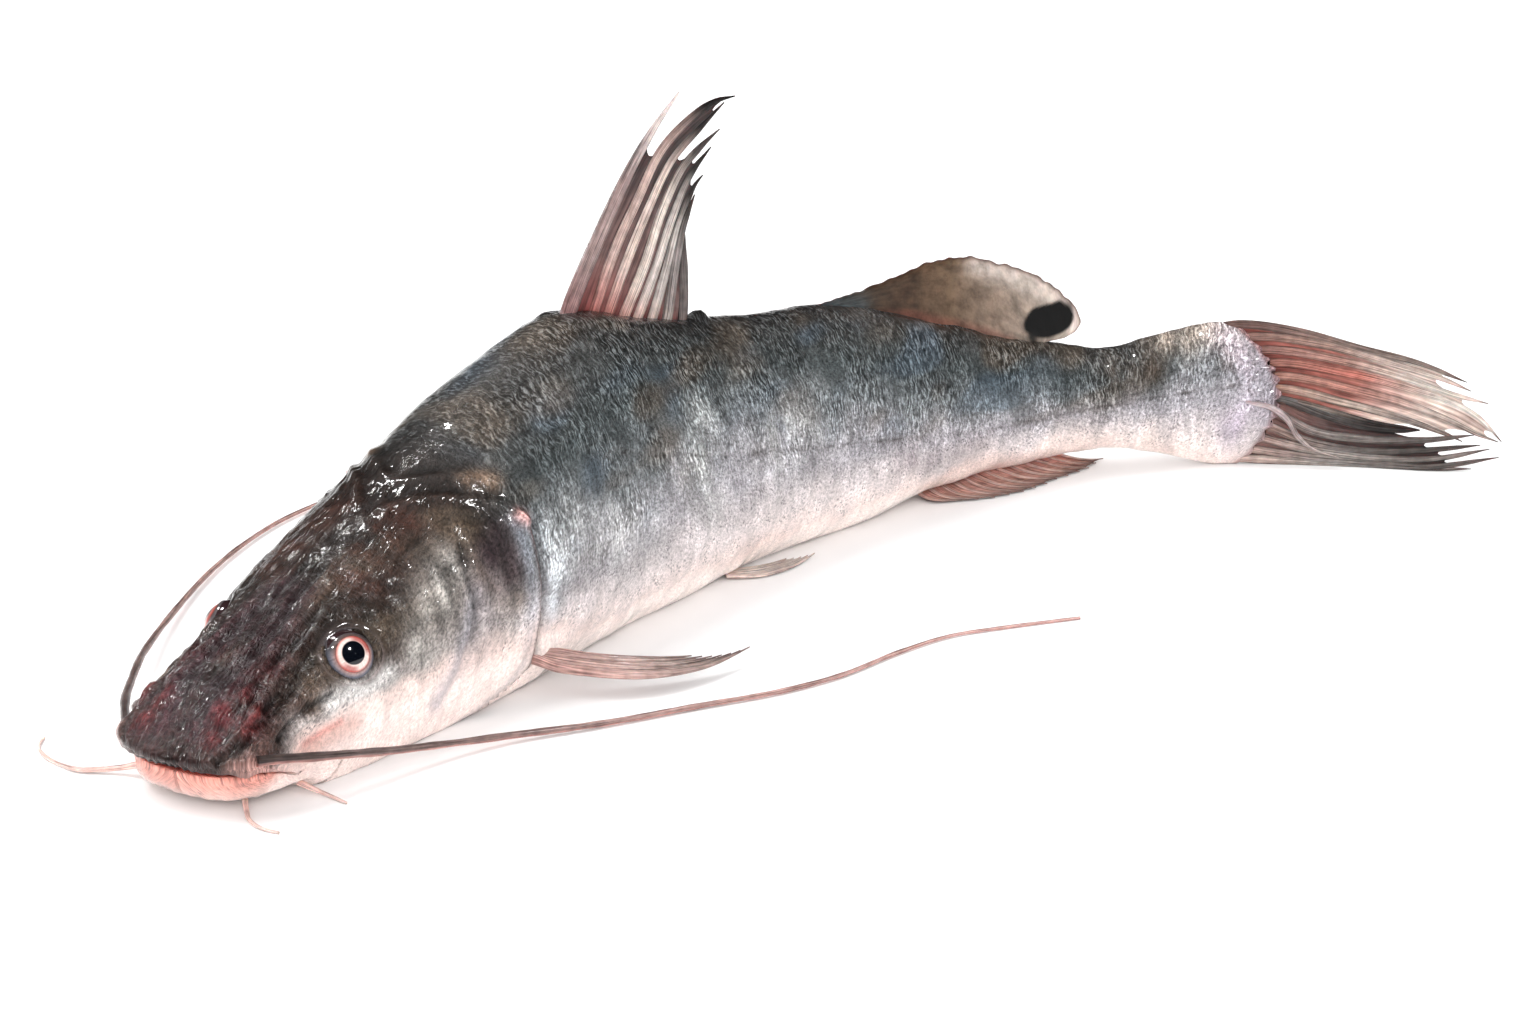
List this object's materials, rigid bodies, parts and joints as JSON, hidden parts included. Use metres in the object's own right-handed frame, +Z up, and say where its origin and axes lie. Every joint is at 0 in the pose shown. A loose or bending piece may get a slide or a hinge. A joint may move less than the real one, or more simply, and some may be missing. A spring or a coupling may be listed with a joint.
{
  "type": "whole raw fish",
  "caption": "Whole raw long-whiskered catfish lying on its belly, tail curved to its left, with upright back fin, fleshy second fin, folded tail fin and trailing whiskers.",
  "frame": {"origin": "on the flat of the belly under the backbone, 250 mm behind the tip of the snout", "axes": "+X towards the tail, -Y towards the fish's left side, +Z up; the fish lies on the plane z = 0"},
  "size_m": [0.563, 0.2761, 0.172],
  "materials": {
    "skin": "wet, glossy, dark grey back to pinkish white belly",
    "eye": "wet and glossy, black pupil in a pinkish iris",
    "rayed_fin": "wet thin membrane between rays, pink to dark grey at the tips",
    "fleshy_fin": "satin, taupe with a black spot",
    "whisker": "wet, greyish pink"
  },
  "bodies": {
    "root": {"body": "skin", "eye_left": "eye", "eye_right": "eye", "dorsal_fin": "rayed_fin", "adipose_fin": "fleshy_fin", "caudal_fin": "rayed_fin", "anal_fin": "rayed_fin", "pectoral_fin_left": "rayed_fin", "pectoral_fin_right": "rayed_fin", "pelvic_fin_left": "rayed_fin", "pelvic_fin_right": "rayed_fin", "maxillary_barbel_left": "whisker", "maxillary_barbel_right": "whisker", "outer_mandibular_barbel_left": "whisker", "outer_mandibular_barbel_right": "whisker", "inner_mandibular_barbel_left": "whisker", "inner_mandibular_barbel_right": "whisker"}
  },
  "joints": []
}
